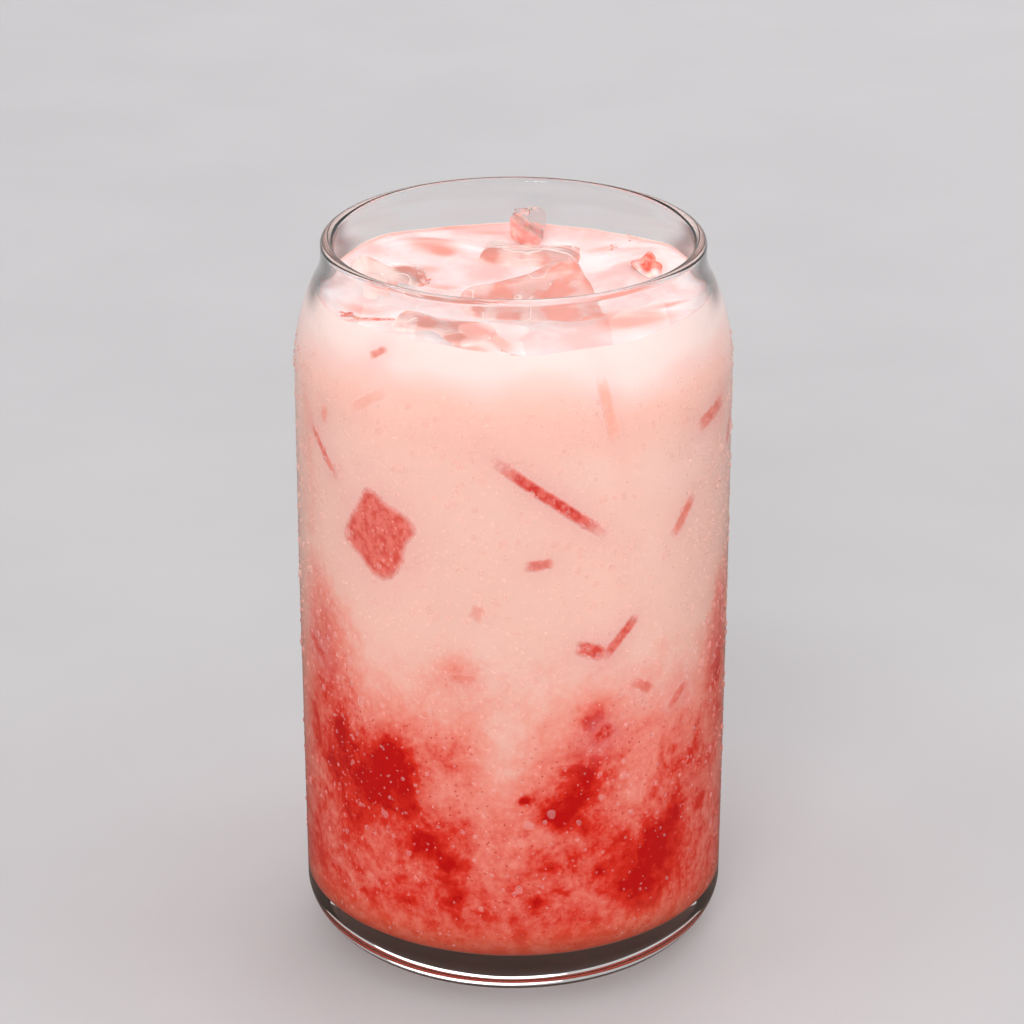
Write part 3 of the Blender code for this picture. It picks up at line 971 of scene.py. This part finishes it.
def bubble_edge(x, y, half_width, half_depth, thick):
    """Closed oval tube lying on the milk: its round section is carried once round the oval."""
    way = once_round(EDGE_STEPS)[:, None]
    turn = once_round(EDGE_SIDES)[None, :]
    out = thick * np.cos(turn)
    across = x + (half_width + out) * np.cos(way)
    along = y + (half_depth + out) * np.sin(way)
    tube = np.stack([across, along, milk_top(across, along) + thick * np.sin(turn)], axis=-1)
    here = np.arange(EDGE_STEPS * EDGE_SIDES).reshape(EDGE_STEPS, EDGE_SIDES)
    after, beside = np.roll(here, -1, axis=0), np.roll(here, -1, axis=1)
    squares = np.stack([here, after, np.roll(after, -1, axis=1), beside], axis=-1).reshape(-1, 4)
    return mesh_piece("bubble_edge", tube.reshape(-1, 3), squares, np.zeros((0, 3), int))


def bubble_places():
    """Small bubbles by lot, more than half of them close to the wall: x, y and width of each."""
    draw = np.random.default_rng(83)
    count = SMALL_BUBBLES
    angle = draw.uniform(0, 2 * np.pi, count)
    by_wall = draw.uniform(size=count) < 0.6
    reach = np.where(by_wall, draw.uniform(32.2, 33.2, count), 31 * np.sqrt(draw.uniform(size=count)))
    width = 0.6 * np.exp(0.4 * draw.normal(size=count))
    return np.stack([reach * np.cos(angle), reach * np.sin(angle), width], axis=-1)


def wet_film():
    """Film of a bubble: clear, thin, bending what lies behind it only a little."""
    material, _ = new_material("wet_film")
    inputs = {"Base Color": (1, 0.97, 0.96, 1), "Roughness": 0.04, "IOR": 1.25, "Transmission Weight": 1}
    return finish_material(material, inputs, lets_light_through=True)


domes = [bubble_edge(*BROAD_BUBBLE)]
for x, y, width in bubble_places():
    z = milk_top(np.array([x]), np.array([y]))[0] + 0.1 * width
    spec = ((x, y, z), (width, width, 0.6 * width), (0, 0, 0), 2)
    domes.append(lump_piece("dome", spec, melt=0, rows=8, turns=14))
bubbles = joined(domes, "milk_bubbles")
bubbles.data.materials.append(wet_film())
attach(bubbles, "root")


# Condensation on the outside of the cold glass: thousands of flat drops, small and round where they have
# just formed, larger and uneven where some have run together.
DROP_SINK = 0.02  # a drop's rim lies this far inside the glass
# Drops are fewer low down and on the shoulder: heights, and the share of them there.
CROWD_HEIGHTS = [12, 45, 66, 108, 119]
CROWD = [0.25, 0.4, 1, 1, 0.4]


def drop_places(cell, chance, low, high, seed):
    """Seeded places on a grid of cells round the glass, each jittered in its cell: angle and height."""
    draw = np.random.default_rng(seed)
    around = int(2 * np.pi * BODY_RADIUS / cell)
    columns, rows = np.meshgrid(np.arange(around), np.arange(int((high - low) / cell)))
    spread = waves(np.stack([columns * cell, rows * cell], -1).reshape(-1, 2), 26, seed + 1)
    crowd = np.interp(low + rows.ravel() * cell, CROWD_HEIGHTS, CROWD)
    kept = draw.uniform(size=columns.size) < chance * crowd * (1 + 0.45 * spread)
    angle = (columns.ravel() + draw.uniform(0.1, 0.9, columns.size)) * 2 * np.pi / around
    z = low + (rows.ravel() + draw.uniform(0.1, 0.9, columns.size)) * cell
    return angle[kept], z[kept]


def drops(name, angle, z, radius, sides, rise, uneven, seed):
    """Flat domes on the wall, in one mesh: a foot ring sunk in the glass, a half-high ring, and a top."""
    draw = np.random.default_rng(seed)
    count = len(angle)
    way = once_round(sides)[None, :] + draw.uniform(0, 1, (count, 1))
    lobes = 1 + uneven * np.sin(2 * way + draw.uniform(0, 6, (count, 1)))
    lobes += 0.6 * uneven * np.sin(3 * way + draw.uniform(0, 6, (count, 1)))
    reach = radius[:, None] * lobes
    rings = []
    for share, lift in ((1, 0), (0.72, 0.62), (0, 1)):
        across, up = share * reach * np.cos(way), share * reach * np.sin(way)
        place = z[:, None] + up
        out = outer_wall(place) - DROP_SINK + lift * rise * radius[:, None]
        turn = angle[:, None] + across / BODY_RADIUS
        rings.append(np.stack([out * np.sin(turn), -out * np.cos(turn), place], axis=-1))
    points = np.concatenate([rings[0], rings[1], rings[2][:, :1]], axis=1)
    first = (np.arange(count) * (2 * sides + 1))[:, None]
    here = np.arange(sides)
    beside = np.roll(here, -1)
    skirt = np.stack([here, beside, beside + sides, here + sides], -1)[None] + first[..., None]
    crown = np.stack([here + sides, beside + sides, np.full(sides, 2 * sides)], -1)[None] + first[..., None]
    fan = np.stack([np.zeros(sides - 2, int), here[2:], here[1:-1]], -1)[None] + first[..., None]
    triangles = np.concatenate([crown.reshape(-1, 3), fan.reshape(-1, 3)])
    piece = mesh_piece(name, points.reshape(-1, 3), skirt.reshape(-1, 4), triangles)
    piece.data.set_sharp_from_angle(angle=np.radians(60))
    return piece


def water():
    """Water in drops so small that they look misty: mostly clear, a little pale with scattered light."""
    material, _ = new_material("water")
    pale = paint(254, 236, 232)
    inputs = {"Base Color": pale, "Roughness": 0.22, "IOR": 1.33, "Transmission Weight": 0.94}
    return finish_material(material, inputs, lets_light_through=True)


WATER = water()
DROP_KINDS = [
    # name, cell, chance, lowest, highest, typical radius, spread, sides, rise, unevenness, seed
    ("fine_drops", 1.25, 0.55, 12, 119, 0.21, 0.3, 6, 0.45, 0, 61),
    ("round_drops", 2.1, 0.42, 20, 117, 0.42, 0.36, 10, 0.42, 0.12, 62),
]
for name, cell, chance, low, high, typical, spread, sides, rise, uneven, seed in DROP_KINDS:
    angle, z = drop_places(cell, chance, low, high, seed)
    sizes = typical * np.exp(spread * np.random.default_rng(seed + 5).normal(size=len(angle)))
    drop_piece = drops(name, angle, z, np.clip(sizes, 0.1, 1), sides, rise, uneven, seed + 7)
    drop_piece.data.materials.append(WATER)
    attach(drop_piece, "root")


# The studio: a pale floor, a large soft lamp above and behind, a broad one in front, a narrow one that
# sparkles in the glass, weak fills round it, and a dark mat that only reflections show, which keeps the
# drink's colours rich. The camera looks down at the glass as the photo does.
CAMERA_PITCH = 23.18
CAMERA_DISTANCE = 696
AIM_HEIGHT = 81.2
AIM_SIDE = -0.27
FOCAL_PIXELS = 3831
PICTURE_PIXELS = 1024
SENSOR = 36


def look_at(thing, place, target):
    """Puts a lamp or a camera at a place, turned to a target, in millimetres."""
    away = Vector(target) - Vector(place)
    thing.location = Vector(place) * MM
    thing.rotation_euler = away.to_track_quat("-Z", "Y").to_euler()


def soft_lamp(name, place, target, width, depth, watts, mirrored):
    """Flat soft lamp; one that isn't mirrored lights things without showing as a patch on the glass."""
    lamp = bpy.data.lights.new(name, "AREA")
    lamp.shape = "ELLIPSE"
    lamp.size, lamp.size_y = width * MM, depth * MM
    lamp.energy = watts
    thing = put_in_scene(name, lamp)
    look_at(thing, place, target)
    thing.visible_glossy = mirrored


def pale_floor():
    """Matt pale grey paint with a barely visible grain."""
    material, place = new_material("pale_floor")
    grain = noise(material, place, 60, detail=3)
    colour = ramp(material, grain, [(0.3, paint(200, 198, 199)), (0.7, paint(203, 201, 202))])
    return finish_material(material, {"Base Color": colour, "Roughness": 0.7})


def reflected_mat():
    """Matt dark round mat, fading to the floor's colour with distance from the middle."""
    material, place = new_material("reflected_mat")
    distance = node(material, "VectorMath", {0: place}, operation="LENGTH")["Value"]
    faded = step(material, distance, 120, 440)
    colour = blend_colours(material, faded, (0.16, 0.12, 0.1, 1), paint(201, 199, 200))
    return finish_material(material, {"Base Color": colour, "Roughness": 0.9})


def flat_square(name, half, height, material):
    """Level square round the middle, half its side each way."""
    corners = [(x * half * MM, y * half * MM, height * MM) for x, y in ((-1, -1), (1, -1), (1, 1), (-1, 1))]
    mesh = bpy.data.meshes.new(name)
    mesh.from_pydata(corners, [], [(0, 1, 2, 3)])
    mesh.materials.append(material)
    return put_in_scene(name, mesh)


studio_floor = flat_square("studio_floor", 4000, 0, pale_floor())
mat = flat_square("reflected_mat", 1200, 0.6, reflected_mat())
for ray in ("camera", "diffuse", "transmission", "shadow"):
    setattr(mat, "visible_" + ray, False)

soft_lamp("top_lamp", (300, 500, 1900), (0, 0, 60), 1500, 1500, 4.7, True)
soft_lamp("front_lamp", (-300, -1400, 560), (0, 0, 60), 1100, 900, 8, False)
soft_lamp("sparkle_lamp", (-250, -950, 1300), (0, 0, 70), 480, 150, 2.8, True)
soft_lamp("left_fill", (-1300, -250, 400), (0, 0, 60), 1000, 1000, 4.4, False)
soft_lamp("right_fill", (1300, -250, 400), (0, 0, 60), 1000, 1000, 5.8, False)
soft_lamp("back_fill", (250, 1400, 700), (0, 0, 70), 1100, 900, 4.6, False)

world = bpy.data.worlds.new("studio_air")
world.use_nodes = True
way_up = node(world, "SeparateXYZ", {0: node(world, "TexCoord")["Generated"]})["Z"]
air = [(0, (0.56, 0.56, 0.56, 1)), (0.3, (0.6, 0.6, 0.605, 1)), (0.8, (0.62, 0.62, 0.63, 1))]
sky = ramp(world, way_up, air)
world.node_tree.links.new(sky, world.node_tree.nodes["Background"].inputs["Color"])
bpy.context.scene.world = world
bpy.context.scene.view_settings.view_transform = "Standard"
bpy.context.scene.view_settings.look = "None"

camera = put_in_scene("camera", bpy.data.cameras.new("camera"))
camera.data.sensor_width = SENSOR
camera.data.lens = FOCAL_PIXELS / PICTURE_PIXELS * SENSOR
camera.data.clip_start = 0.05
pitch = np.radians(CAMERA_PITCH)
camera_place = (
    AIM_SIDE,
    -CAMERA_DISTANCE * np.cos(pitch),
    AIM_HEIGHT + CAMERA_DISTANCE * np.sin(pitch),
)
look_at(camera, camera_place, (AIM_SIDE, 0, AIM_HEIGHT))
bpy.context.scene.camera = camera
